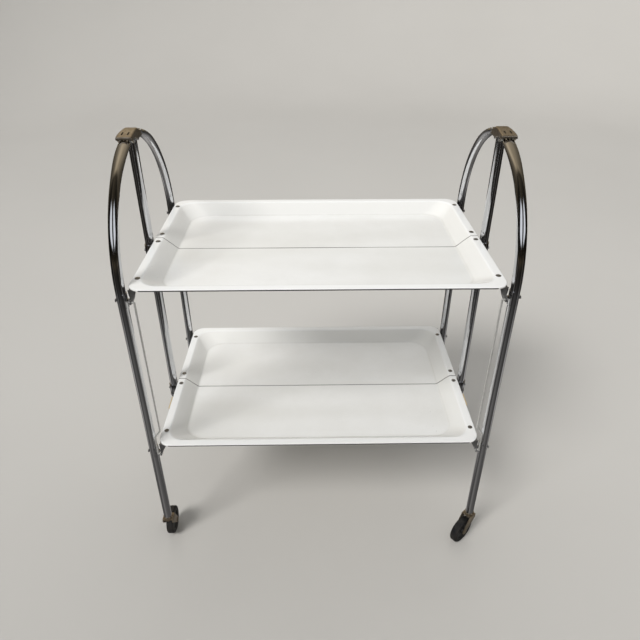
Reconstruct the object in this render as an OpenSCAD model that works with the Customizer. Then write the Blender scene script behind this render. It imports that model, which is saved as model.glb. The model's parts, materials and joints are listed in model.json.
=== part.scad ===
// Folding two-tier serving trolley: two chromed tube arches, each with an
// upright post, carrying two enamelled trays that are split along the middle.
// Frame: +Z up, X along the trays, front towards -Y, floor at z = 0.

/* [Trays] */
// Length of each tray over its end flanges
tray_w = 598; // [580:2:620]
// Depth of each opened tray, front edge to back edge
tray_d = 404; // [396:2:412]
// Height of the upper flange above the floor
upper_z = 599; // [590:1:606]
// Height of the lower flange above the floor
lower_z = 273; // [265:1:285]
// Depth of the dish below the flange
dish_h = 22; // [18:1:22]
// Width of the flat flange
flange_w = 15.5; // [14:0.5:17]
// Thickness of the enamelled sheet
sheet_t = 1; // [0.8:0.1:1.2]
// Gap between the two halves of a tray
seam_gap = 0.7; // [0.6:0.1:1.2]

/* [Frame] */
// Outside diameter of the frame tube
tube_d = 16; // [15:0.5:16]
// Wall of the frame tube
tube_t = 1.2; // [1:0.1:1.5]
// Bend radius of the arches, on the tube centreline
arch_r = 200; // [190:2:204]
// Distance of a crown pivot from the post centre
crown_y = 28; // [26:1:30]
// Lower end of the leg tubes above the floor
leg_bottom = 66; // [64:1:70]

/* [Casters] */
// Wheel diameter
wheel_d = 56; // [50:1:56]
// Trail of the wheel behind its swivel axis
trail = 21; // [18:1:22]
// Direction in which the front left wheel trails
swivel_front_left = 90; // [0:5:355]
// Direction in which the front right wheel trails
swivel_front_right = 220; // [0:5:355]
// Direction in which the back left wheel trails
swivel_back_left = 270; // [0:5:355]
// Direction in which the back right wheel trails
swivel_back_right = 140; // [0:5:355]

/* [Hidden] */
$fn = 64;

xe = tray_w / 2;              // end edge of the trays
xp = xe + 12;                 // plane of the frame tubes
tr = tube_d / 2;
leg_y = tray_d / 2 - 12;      // leg centreline
arc_y = leg_y - arch_r;       // bend centre, just past the post
arc_z = 587;                  // height of the bend centre
crown_z = arc_z + sqrt(arch_r * arch_r - (crown_y - arc_y) * (crown_y - arc_y));
leg_end_y = crown_y - 8;      // inner end of an arch half
arc_a = acos((leg_end_y - arc_y) / arch_r);
pin_drop = 24;                // tray pivots below the flange
upper_pin = upper_z - pin_drop;
lower_pin = lower_z - pin_drop;
post_bottom = lower_pin - 18;
corner_r = 24;
rivet_x = xe - 9;
rivet_in = 17;                // rivets beside the seam
rivet_out = 162;              // rivets near the corners
rod_y = leg_y + 8;
rod_r = 1.6;
fit = 0.05;
run_h = 24;

steel = [0.80, 0.81, 0.83];
dark_steel = [0.45, 0.45, 0.47];
enamel = [0.93, 0.93, 0.90];
black = [0.08, 0.08, 0.08];
nylon = [0.90, 0.90, 0.86];
beige = [0.83, 0.74, 0.55];
zinc = [0.66, 0.64, 0.60];

// ---- helpers ----
module flip_x(s) { if (s < 0) mirror([1, 0, 0]) children(); else children(); }
module flip_y(s) { if (s < 0) mirror([0, 1, 0]) children(); else children(); }
module both_x() { children(); mirror([1, 0, 0]) children(); }
module both_y() { children(); mirror([0, 1, 0]) children(); }
// cylinder along +X from x0 to x1
module xcyl(x0, x1, r, y, z) {
  translate([x0, y, z]) rotate([0, 90, 0]) cylinder(h = x1 - x0, r = r);
}
module ring(ro, ri, h) {
  difference() { cylinder(h = h, r = ro); translate([0, 0, -1]) cylinder(h = h + 2, r = ri); }
}
module rrect(w, d, r) {
  square([w, d - 2 * r], center = true);
  square([w - 2 * r, d], center = true);
  for (sx = [-1, 1], sy = [-1, 1]) translate([sx * (w / 2 - r), sy * (d / 2 - r)]) circle(r);
}
// round bar between two points
module bar(p, q, r) {
  v = q - p; l = norm(v);
  translate(p) rotate([0, acos(v[2] / l), atan2(v[1], v[0])]) cylinder(h = l, r = r);
}

// ---- posts and crowns ----
module post() {
  color(steel) translate([xp, 0, 0]) difference() {
    translate([0, 0, post_bottom]) cylinder(h = crown_z + 10 - post_bottom, r = tr);
    translate([0, 0, post_bottom - 1]) cylinder(h = crown_z + 12 - post_bottom, r = tr - tube_t);
    translate([0, 0, crown_z - 5]) rotate([0, 90, 0]) cylinder(h = 40, r = 2.52, center = true);
  }
}
// Outline of the crown in the YZ plane, both arches meeting over the post
module crown_outline(r) {
  intersection() {
    translate([arc_y, arc_z]) circle(r, $fn = 360);
    translate([-arc_y, arc_z]) circle(r, $fn = 360);
    // the cheeks are deep over the post and run out to nothing at both ends
    polygon([[-43, crown_z + 40], [-43, crown_z + 4.5], [-36, crown_z - 3], [-24, crown_z - 6.5],
      [-11, crown_z - 12], [11, crown_z - 12], [24, crown_z - 6.5], [36, crown_z - 3],
      [43, crown_z + 4.5], [43, crown_z + 40]]);
  }
}
module crown() {
  color(steel) translate([xp, 0, 0]) difference() {
    translate([-13, 0, 0]) rotate([90, 0, 90]) linear_extrude(26) crown_outline(arch_r + 11.2);
    translate([-11.4, 0, 0]) rotate([90, 0, 90]) linear_extrude(22.8) intersection() {
      translate([arc_y, arc_z]) circle(arch_r + 9.8, $fn = 360);
      translate([-arc_y, arc_z]) circle(arch_r + 9.8, $fn = 360);
      translate([-60, crown_z - 30]) square([120, 90]);
    }
    both_y() translate([0, crown_y, crown_z]) rotate([0, 90, 0]) cylinder(h = 40, r = 2.52, center = true);
    translate([0, 0, crown_z - 5]) rotate([0, 90, 0]) cylinder(h = 40, r = 2.52, center = true);
    // a pair of slots in the top at each end
    both_x() both_y() translate([5.5, 29, crown_z + 4]) linear_extrude(20) {
      square([2.2, 11], center = true);
      both_y() translate([0, 5.5]) circle(1.1);
    }
  }
}
module crown_pins() {
  color(dark_steel) both_x() both_y() {
    xcyl(xp - 13.1, xp + 13.1, 2.5, crown_y, crown_z);
    xcyl(xp + 13, xp + 14.2, 4.2, crown_y, crown_z);
    xcyl(xp - 14.2, xp - 13, 4.2, crown_y, crown_z);
  }
}
module crown_spacers() {
  color(nylon) both_x() both_y() for (s = [-1, 1])
    translate([xp + s * 9.75, crown_y, crown_z]) rotate([0, 90, 0])
      translate([0, 0, -1.5]) ring(4.5, 2.52, 3);
}
module post_rivets() {
  color(dark_steel) both_x() {
    xcyl(xp - 13.1, xp + 13.1, 2.5, 0, crown_z - 5);
    xcyl(xp + 13, xp + 14, 3.8, 0, crown_z - 5);
    xcyl(xp - 14, xp - 13, 3.8, 0, crown_z - 5);
  }
}
module post_stops() {
  color(dark_steel) both_x() for (z = [upper_pin, lower_pin])
    translate([xp, 0, z - run_h / 2 - 4.2]) ring(10, tr + 0.02, 4);
}
module post_end_caps() {
  color(black) both_x() translate([xp, 0, post_bottom]) {
    cylinder(h = 14, r = tr - tube_t - 0.02);
    translate([0, 0, -3]) cylinder(h = 3, r = tr + 0.6);
  }
}

// ---- legs ----
module leg() {
  color(steel) difference() {
    union() {
      translate([xp, leg_y, leg_bottom]) cylinder(h = arc_z - leg_bottom, r = tr);
      translate([xp, arc_y, arc_z]) rotate([90, 0, 90])
        rotate_extrude(angle = arc_a, $fn = 180) translate([arch_r, 0]) circle(tr);
    }
    translate([xp, leg_y, leg_bottom - 1]) cylinder(h = arc_z - leg_bottom + 1, r = tr - tube_t);
    translate([xp, arc_y, arc_z]) rotate([90, 0, 90])
      rotate_extrude(angle = arc_a + 2, $fn = 180) translate([arch_r, 0]) circle(tr - tube_t);
    xcyl(xp - 20, xp + 20, 2.5 + fit, crown_y, crown_z);
    for (z = [upper_pin, lower_pin]) xcyl(xp, xp + 12, 1.52, leg_y, z);
  }
}
// clips that carry the tray corners, with a round stud facing the tray
module leg_brackets() {
  color(dark_steel) for (z = [upper_pin, lower_pin]) difference() {
    union() {
      translate([xp, leg_y, z - 13]) cylinder(h = 26, r = 9.2);
      xcyl(xe - 1, xp - 8.5, 3.2, leg_y, z);
    }
    translate([xp, leg_y, z - 14]) cylinder(h = 28, r = tr + 0.02);
    xcyl(xp, xp + 12, 1.52, leg_y, z);
  }
}
module bracket_rivets() {
  color(dark_steel) both_x() for (z = [upper_pin, lower_pin]) {
    xcyl(xp + 6, xp + 9.3, 1.5, leg_y, z);
    xcyl(xp + 9.2, xp + 10.6, 3, leg_y, z);
  }
}
module caster_sockets() {
  color(zinc) both_x() translate([xp, leg_y, leg_bottom]) {
    ring(tr - tube_t - 0.02, 5 + fit, 28);
    translate([0, 0, -3.4]) ring(9.6, 5 + fit, 3.4);
  }
}

// ---- runners on the posts ----
module runner(z) {
  color(steel) difference() {
    union() {
      translate([xp, 0, z - run_h / 2]) cylinder(h = run_h, r = 9.8);
      xcyl(xp - 10.6, xp - 8.6, 6, 0, z);
      xcyl(xp + 8.6, xp + 11.4, 2.4, 0, z);
    }
    translate([xp, 0, z - run_h]) cylinder(h = 2 * run_h, r = tr + fit);
    xcyl(xp - 12, xp - tr, 3.01, 0, z);
  }
}
module seam_pins(z) {
  color(dark_steel) both_x() {
    xcyl(xe - 7.2, xp - tr - 0.3, 3, 0, z);
    xcyl(xe - 9, xe - 7.2, 5, 0, z);
  }
}
module seam_washers(z) {
  color(nylon) both_x() translate([xe - 2.2, 0, z]) rotate([0, 90, 0]) ring(5.6, 3.02, 3.4);
}

// ---- trays ----
// one half, on the +Y side, flange top at z = 0
module tray_half() {
  t = sheet_t;
  ow = tray_w - 2 * flange_w;
  od = tray_d - 2 * flange_w;
  color(enamel) difference() {
    union() {
      translate([0, 0, -t]) linear_extrude(t) rrect(tray_w, tray_d, corner_r);
      difference() {
        translate([0, 0, -3]) linear_extrude(3) rrect(tray_w, tray_d, corner_r);
        translate([0, 0, -4]) linear_extrude(5) rrect(tray_w - 2 * t, tray_d - 2 * t, corner_r - t);
      }
      hull() {
        translate([0, 0, -t]) linear_extrude(t) rrect(ow + 2 * t, od + 2 * t, 31, $fn = 48);
        translate([0, 0, -dish_h + 3]) linear_extrude(0.1) rrect(ow - 44 + 2 * t, od - 44 + 2 * t, 38, $fn = 48);
        translate([0, 0, -dish_h - t]) linear_extrude(0.1) rrect(ow - 54, od - 54, 40, $fn = 48);
      }
    }
    hull() {
      translate([0, 0, 0]) linear_extrude(1) rrect(ow, od, 30, $fn = 48);
      translate([0, 0, -dish_h + 3.4]) linear_extrude(0.1) rrect(ow - 44, od - 44, 37, $fn = 48);
      translate([0, 0, -dish_h]) linear_extrude(0.1) rrect(ow - 54, od - 54, 39, $fn = 48);
    }
    translate([-tray_w, -tray_d, -60]) cube([2 * tray_w, tray_d + seam_gap / 2, 120]);
    both_x() for (y = [rivet_in, rivet_out]) translate([rivet_x, y, -10]) cylinder(h = 20, r = 2.02);
  }
}
// pressed steel arm riveted under each end flange; w is the outer face of its web
module tray_arm(w, rod_hole) {
  color(dark_steel) difference() {
    union() {
      translate([xe - 14.5, 5, -sheet_t - 1.5]) cube([12, 181 - 190 + leg_y, 1.5]);
      translate([w - 1.5, 0, 0]) rotate([90, 0, 90]) linear_extrude(1.5) {
        polygon([[5, -sheet_t - 0.5], [leg_y - 6, -sheet_t - 0.5], [leg_y - 4.4, -3.3], [leg_y + 5.4, -3.6],
          [leg_y + 5.8, -22], [leg_y, -30], [leg_y - 14, -27], [leg_y - 34, -14],
          [36, -14], [12, -27], [0, -30.9], [3, -17.7]]);
        translate([0, -pin_drop]) circle(7);
        translate([leg_y, -pin_drop]) circle(6);
        if (rod_hole) translate([rod_y, -pin_drop]) circle(4);
      }
      // head of the corner pivot
      xcyl(w - 0.1, xe - 1.4, 3.8, leg_y, -pin_drop);
      // front tab that closes the corner
      translate([0, leg_y + 4.2, 0]) rotate([90, 0, 0]) translate([0, 0, -1.2]) linear_extrude(1.2)
        polygon([[xe - 13, -3.3], [xe - 1.4, -3.3], [xe - 1.4, -9], [xe - 3, -19],
          [xe - 7.5, -19], [xe - 13, -9]]);
    }
    xcyl(xe - 20, xe, 3 + fit, 0, -pin_drop);
    if (rod_hole) xcyl(xe - 20, xe, rod_r + fit, rod_y, -pin_drop);
    for (y = [rivet_in, rivet_out]) translate([rivet_x, y, -10]) cylinder(h = 20, r = 2.02);
  }
}
module tray_rivets() {
  color(dark_steel) both_x() for (y = [rivet_in, rivet_out]) translate([rivet_x, y, 0]) {
    translate([0, 0, -sheet_t - 2.4]) cylinder(h = sheet_t + 2.5, r = 2);
    cylinder(h = 0.7, r = 4.3);
    translate([0, 0, 0.7]) cylinder(h = 0.5, r = 3.4);
    translate([0, 0, -sheet_t - 2.6]) cylinder(h = 1.1, r = 2.4);
  }
}
module edge_tabs() {
  color(beige) both_x() translate([xe, -95, lower_z - 9]) cube([2.4, 35, 8]);
}
// one tray half with its place: s = 1 back, -1 front
module at_tray(s, z) { translate([0, 0, z]) flip_y(s) children(); }
function web(s) = s < 0 ? xe - 2.5 : xe - 5;

// ---- wire rods in front ----
module sync_rods() {
  a = [xe - 6, -rod_y, lower_pin];
  b = [xe + 2.2, -rod_y, lower_pin];
  c = [xe + 2.2, -rod_y, lower_pin + 41];
  d = [xe - 9, -rod_y, lower_pin + 57];
  e = [xe - 9, -rod_y, upper_pin];
  f = [xe - 4.4, -rod_y, upper_pin];
  color(steel) both_x() {
    bar(a, b, rod_r); bar(b, c, rod_r); bar(c, d, rod_r); bar(d, e, rod_r); bar(e, f, rod_r);
    for (p = [b, c, d, e]) translate(p) sphere(rod_r);
  }
}

// ---- casters, built about the swivel axis with the wheel trailing along +X ----
module at_caster(sx, sy, a) { translate([sx * xp, sy * leg_y, 0]) rotate([0, 0, a]) children(); }
module fork() {
  wr = wheel_d / 2;
  ft = leg_bottom - 3.8;        // top of the fork plate
  color(zinc) difference() {
    union() {
      translate([0, 0, ft - 1.6]) cylinder(h = leg_bottom + 22 - ft + 1.6, r = 5);
      translate([0, 0, ft - 2.6]) cylinder(h = 2.6, r = 10.4);
      translate([-8, -10.4, ft - 2.6]) cube([18, 20.8, 2.6]);
      for (s = [-1, 1]) translate([0, s * 9.5 + 0.9, 0]) rotate([90, 0, 0]) linear_extrude(1.8) {
        polygon([[-8, ft], [10, ft], [trail + 5.4, wr + 3], [trail + 2, wr - 5.4], [trail - 5.4, wr - 2.6],
          [-8, ft - 9]]);
        translate([trail, wr]) circle(6);
      }
    }
    translate([trail, 0, wr]) rotate([90, 0, 0]) cylinder(h = 40, r = 3.02, center = true);
  }
}
module axle() {
  color(dark_steel) translate([trail, 0, wheel_d / 2]) rotate([90, 0, 0]) {
    translate([0, 0, -10.5]) cylinder(h = 21, r = 3);
    for (s = [-1, 1]) translate([0, 0, s * 11 - 0.6]) cylinder(h = 1.2, r = 4.6);
  }
}
module hub() {
  color(black) translate([trail, 0, wheel_d / 2]) rotate([90, 0, 0]) rotate_extrude()
    polygon([[3 + fit, -8], [6.5, -8], [6.5, -4], [wheel_d / 2 - 9.5, -4], [wheel_d / 2 - 9.5, -6.5],
      [wheel_d / 2 - 7.02, -6.5], [wheel_d / 2 - 7.02, 6.5], [wheel_d / 2 - 9.5, 6.5],
      [wheel_d / 2 - 9.5, 4], [6.5, 4], [6.5, 8], [3 + fit, 8]]);
}
module tyre() {
  color([0.05, 0.05, 0.05]) translate([trail, 0, wheel_d / 2]) rotate([90, 0, 0]) rotate_extrude($fn = 96) {
    r = wheel_d / 2;
    difference() {
      union() {
        translate([r - 7, -7]) square([4, 14]);
        translate([r - 3, -4]) square([3, 8]);
        for (s = [-1, 1]) translate([r - 3, s * 4]) circle(3, $fn = 48);
      }
      translate([r - 10, -10]) square([3, 20]);
    }
  }
}

flip_x(-1) post();  // post_left
post();  // post_right
flip_x(-1) crown();  // crown_left
crown();  // crown_right
crown_pins();
crown_spacers();
post_rivets();
post_stops();
post_end_caps();
flip_y(-1) flip_x(-1) leg();  // front_leg_left
flip_y(-1) leg();  // front_leg_right
flip_x(-1) leg();  // back_leg_left
leg();  // back_leg_right
flip_y(-1) flip_x(-1) leg_brackets();  // front_left_brackets
flip_y(-1) leg_brackets();  // front_right_brackets
flip_x(-1) leg_brackets();  // back_left_brackets
leg_brackets();  // back_right_brackets
flip_y(-1) bracket_rivets();  // front_bracket_rivets
bracket_rivets();  // back_bracket_rivets
flip_y(-1) caster_sockets();  // front_caster_sockets
caster_sockets();  // back_caster_sockets
flip_x(-1) runner(upper_pin);  // upper_runner_left
runner(upper_pin);  // upper_runner_right
flip_x(-1) runner(lower_pin);  // lower_runner_left
runner(lower_pin);  // lower_runner_right
seam_pins(upper_pin);  // upper_seam_pins
seam_pins(lower_pin);  // lower_seam_pins
seam_washers(upper_pin);  // upper_seam_washers
seam_washers(lower_pin);  // lower_seam_washers
at_tray(-1, upper_z) tray_half();  // upper_front_tray
at_tray(1, upper_z) tray_half();  // upper_back_tray
at_tray(-1, lower_z) tray_half();  // lower_front_tray
at_tray(1, lower_z) tray_half();  // lower_back_tray
at_tray(-1, upper_z) both_x() tray_arm(web(-1), true);  // upper_front_arms
at_tray(1, upper_z) both_x() tray_arm(web(1), false);  // upper_back_arms
at_tray(-1, lower_z) both_x() tray_arm(web(-1), true);  // lower_front_arms
at_tray(1, lower_z) both_x() tray_arm(web(1), false);  // lower_back_arms
at_tray(-1, upper_z) tray_rivets();  // upper_front_rivets
at_tray(1, upper_z) tray_rivets();  // upper_back_rivets
at_tray(-1, lower_z) tray_rivets();  // lower_front_rivets
at_tray(1, lower_z) tray_rivets();  // lower_back_rivets
edge_tabs();  // lower_edge_tabs
sync_rods();
at_caster(-1, -1, swivel_front_left) fork();  // fork_front_left
at_caster(1, -1, swivel_front_right) fork();  // fork_front_right
at_caster(-1, 1, swivel_back_left) fork();  // fork_back_left
at_caster(1, 1, swivel_back_right) fork();  // fork_back_right
at_caster(-1, -1, swivel_front_left) axle();  // axle_front_left
at_caster(1, -1, swivel_front_right) axle();  // axle_front_right
at_caster(-1, 1, swivel_back_left) axle();  // axle_back_left
at_caster(1, 1, swivel_back_right) axle();  // axle_back_right
at_caster(-1, -1, swivel_front_left) hub();  // hub_front_left
at_caster(1, -1, swivel_front_right) hub();  // hub_front_right
at_caster(-1, 1, swivel_back_left) hub();  // hub_back_left
at_caster(1, 1, swivel_back_right) hub();  // hub_back_right
at_caster(-1, -1, swivel_front_left) tyre();  // tyre_front_left
at_caster(1, -1, swivel_front_right) tyre();  // tyre_front_right
at_caster(-1, 1, swivel_back_left) tyre();  // tyre_back_left
at_caster(1, 1, swivel_back_right) tyre();  // tyre_back_right
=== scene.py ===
import json
import math
import random

import bmesh
import bpy
from mathutils import Matrix, Vector

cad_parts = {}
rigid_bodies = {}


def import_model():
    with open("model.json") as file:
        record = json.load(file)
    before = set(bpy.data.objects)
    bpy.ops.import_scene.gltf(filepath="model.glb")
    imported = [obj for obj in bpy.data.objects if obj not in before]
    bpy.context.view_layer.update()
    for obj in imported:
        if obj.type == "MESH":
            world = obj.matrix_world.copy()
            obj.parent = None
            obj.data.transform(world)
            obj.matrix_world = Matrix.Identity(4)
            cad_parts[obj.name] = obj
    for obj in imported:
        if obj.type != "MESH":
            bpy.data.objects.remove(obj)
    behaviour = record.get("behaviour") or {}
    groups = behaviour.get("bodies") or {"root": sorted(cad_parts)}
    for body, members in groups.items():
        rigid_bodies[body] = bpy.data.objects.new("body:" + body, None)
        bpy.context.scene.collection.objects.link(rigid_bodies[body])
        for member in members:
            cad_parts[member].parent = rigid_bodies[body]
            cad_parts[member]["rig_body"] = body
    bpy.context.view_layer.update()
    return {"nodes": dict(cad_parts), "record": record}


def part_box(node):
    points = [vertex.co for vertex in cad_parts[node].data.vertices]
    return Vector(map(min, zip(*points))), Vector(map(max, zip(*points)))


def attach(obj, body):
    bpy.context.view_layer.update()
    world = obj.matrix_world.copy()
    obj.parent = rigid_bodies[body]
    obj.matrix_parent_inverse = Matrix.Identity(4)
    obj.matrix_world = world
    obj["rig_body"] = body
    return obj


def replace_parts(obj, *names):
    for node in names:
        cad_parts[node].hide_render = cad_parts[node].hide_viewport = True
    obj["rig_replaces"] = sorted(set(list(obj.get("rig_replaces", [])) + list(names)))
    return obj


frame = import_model()
NODES = frame["nodes"]
BODY_OF = {n: o["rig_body"] for n, o in NODES.items()}
SLOT_OF = {s["node"]: s["material_slot"] for s in frame["record"]["subparts"]}
MM = 0.001

# ------------------------------------------------------------------ camera
cam_data = bpy.data.cameras.new("camera")
cam = bpy.data.objects.new("camera", cam_data)
bpy.context.scene.collection.objects.link(cam)
cam.location = (-0.011, -0.966, 1.016)
cam.rotation_euler = (math.radians(58.22), 0.0, math.radians(-0.93))
cam_data.sensor_width = 36.0
cam_data.lens = 562.0 / 640.0 * 36.0
cam_data.clip_start, cam_data.clip_end = 0.02, 60.0
bpy.context.scene.camera = cam

# ------------------------------------------------------------------ sizes, from the frame
post_lo, post_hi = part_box("post_right")
XP = (post_lo.x + post_hi.x) / 2            # plane of the tubes
TR = (post_hi.x - post_lo.x) / 2            # tube radius
leg_lo, leg_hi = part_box("back_leg_right")
LEG_Y = leg_hi.y - TR                       # leg centreline
LEG_Z0 = leg_lo.z
ARC_R, ARC_Z = 0.200, 0.587
ARC_Y = LEG_Y - ARC_R
LEG_END_Y = leg_lo.y                        # inner end of the arch, hidden by the crown
TRAY = {}
for lv in ("upper", "lower"):
    lo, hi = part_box(lv + "_back_tray")
    TRAY[lv] = (hi.x, hi.y, lo.y, hi.z)     # half width, half depth, seam y, flange top


# ------------------------------------------------------------------ material helpers
class Net:
    def __init__(self, name):
        self.mat = bpy.data.materials.new(name)
        self.mat.use_nodes = True
        self.t = self.mat.node_tree
        self.bsdf = self.t.nodes["Principled BSDF"]
        self.coord = self.t.nodes.new("ShaderNodeTexCoord").outputs["Object"]

    def new(self, kind, **values):
        n = self.t.nodes.new(kind)
        for k, v in values.items():
            if hasattr(n, k):
                setattr(n, k, v)
            else:
                n.inputs[k].default_value = v
        return n

    def link(self, a, b):
        self.t.links.new(a, b)

    def mapped(self, scale=(1, 1, 1), rot=(0, 0, 0)):
        m = self.new("ShaderNodeMapping")
        m.inputs["Scale"].default_value = scale
        m.inputs["Rotation"].default_value = rot
        self.link(self.coord, m.inputs["Vector"])
        return m.outputs["Vector"]

    def noise(self, scale, detail=4.0, rough=0.55, stretch=None, seed=0.0, dist=0.0):
        n = self.new("ShaderNodeTexNoise")
        n.noise_dimensions = "4D"
        n.inputs["W"].default_value = seed
        n.inputs["Scale"].default_value = scale
        n.inputs["Detail"].default_value = detail
        n.inputs["Roughness"].default_value = rough
        n.inputs["Distortion"].default_value = dist
        self.link(self.mapped(stretch) if stretch else self.coord, n.inputs["Vector"])
        return n.outputs["Fac"]

    def voronoi(self, scale, stretch=None, feature="F1"):
        n = self.new("ShaderNodeTexVoronoi")
        n.feature = feature
        n.inputs["Scale"].default_value = scale
        self.link(self.mapped(stretch) if stretch else self.coord, n.inputs["Vector"])
        return n.outputs["Distance"]

    def ramp(self, fac, stops, interp="LINEAR"):
        r = self.new("ShaderNodeValToRGB")
        r.color_ramp.interpolation = interp
        els = r.color_ramp.elements
        while len(els) < len(stops):
            els.new(0.5)
        for e, (p, c) in zip(els, stops):
            e.position = p
            e.color = (*c, 1.0) if isinstance(c, tuple) else (c, c, c, 1.0)
        self.link(fac, r.inputs["Fac"])
        return r.outputs["Color"]

    def math(self, op, a, b=0.0, clamp=False):
        m = self.new("ShaderNodeMath")
        m.operation = op
        m.use_clamp = clamp
        for i, v in enumerate((a, b)):
            if isinstance(v, (int, float)):
                m.inputs[i].default_value = v
            else:
                self.link(v, m.inputs[i])
        return m.outputs["Value"]

    def mix(self, fac, a, b):
        m = self.new("ShaderNodeMix")
        m.data_type = "RGBA"
        for sock, v in ((m.inputs["Factor"], fac), (m.inputs["A"], a), (m.inputs["B"], b)):
            if isinstance(v, tuple):
                sock.default_value = (*v, 1.0)
            elif isinstance(v, (int, float)):
                sock.default_value = v
            else:
                self.link(v, sock)
        return m.outputs["Result"]

    def sep(self, axis):
        s = self.new("ShaderNodeSeparateXYZ")
        self.link(self.coord, s.inputs["Vector"])
        return s.outputs[axis]

    def span(self, value, a, b, c=0.0, d=1.0):
        m = self.new("ShaderNodeMapRange")
        m.inputs["From Min"].default_value = a
        m.inputs["From Max"].default_value = b
        m.inputs["To Min"].default_value = c
        m.inputs["To Max"].default_value = d
        self.link(value, m.inputs["Value"])
        return m.outputs["Result"]

    def bump(self, height, strength, distance, prev=None):
        b = self.new("ShaderNodeBump")
        b.inputs["Strength"].default_value = strength
        b.inputs["Distance"].default_value = distance
        self.link(height, b.inputs["Height"])
        if prev is not None:
            self.link(prev, b.inputs["Normal"])
        return b.outputs["Normal"]

    def put(self, **sockets):
        for k, v in sockets.items():
            s = self.bsdf.inputs[k.replace("_", " ")]
            if isinstance(v, tuple):
                s.default_value = (*v, 1.0) if len(v) == 3 else v
            elif isinstance(v, (int, float)):
                s.default_value = v
            else:
                self.link(v, s)
        return self.mat


def chrome(name, base, dark, rough, streak, seed):
    n = Net(name)
    cloudy = n.noise(9.0, 5.0, 0.6, seed=seed)
    lines = n.noise(30.0, 3.0, 0.6, stretch=streak, seed=seed + 3)
    pits = n.ramp(n.voronoi(420.0), [(0.0, 1.0), (0.07, 0.55), (0.11, 0.0)])
    where = n.ramp(n.noise(14.0, 3.0, seed=seed + 7), [(0.52, 0.0), (0.66, 1.0)])
    spots = n.math("MULTIPLY", pits, where, clamp=True)
    colour = n.mix(n.ramp(cloudy, [(0.3, 0.0), (0.75, 1.0)]), base, dark)
    colour = n.mix(n.math("MULTIPLY", spots, 0.75), colour, (0.16, 0.13, 0.10))
    r = n.math("ADD", n.span(cloudy, 0.25, 0.8, rough, rough + 0.06),
               n.span(lines, 0.45, 0.85, 0.0, 0.10))
    r = n.math("ADD", r, n.math("MULTIPLY", spots, 0.35), clamp=True)
    nrm = n.bump(cloudy, 0.12, 0.0006)
    nrm = n.bump(lines, 0.10, 0.0001, nrm)
    nrm = n.bump(spots, 0.35, -0.0001, nrm)
    return n.put(Base_Color=colour, Metallic=1.0, Roughness=r, Normal=nrm)


def zinc(name, light, dark, rough, seed, rust=0.25):
    n = Net(name)
    spangle = n.voronoi(180.0)
    cloudy = n.noise(22.0, 6.0, 0.62, seed=seed)
    grain = n.noise(120.0, 2.0, 0.5, stretch=(1, 1, 7), seed=seed + 1)
    mixer = n.math("ADD", n.math("MULTIPLY", spangle, 0.35), n.math("MULTIPLY", cloudy, 0.8))
    colour = n.mix(n.ramp(mixer, [(0.25, 0.0), (0.75, 1.0)]), light, dark)
    stain = n.ramp(n.noise(34.0, 6.0, 0.7, seed=seed + 5), [(0.58, 0.0), (0.72, 1.0)])
    colour = n.mix(n.math("MULTIPLY", stain, rust), colour, (0.20, 0.105, 0.05))
    r = n.math("ADD", n.span(cloudy, 0.2, 0.8, rough, rough + 0.18),
               n.math("MULTIPLY", stain, 0.2), clamp=True)
    nrm = n.bump(grain, 0.12, 0.0002)
    nrm = n.bump(cloudy, 0.2, 0.0003, nrm)
    return n.put(Base_Color=colour, Metallic=0.92, Roughness=r, Normal=nrm)


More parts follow.
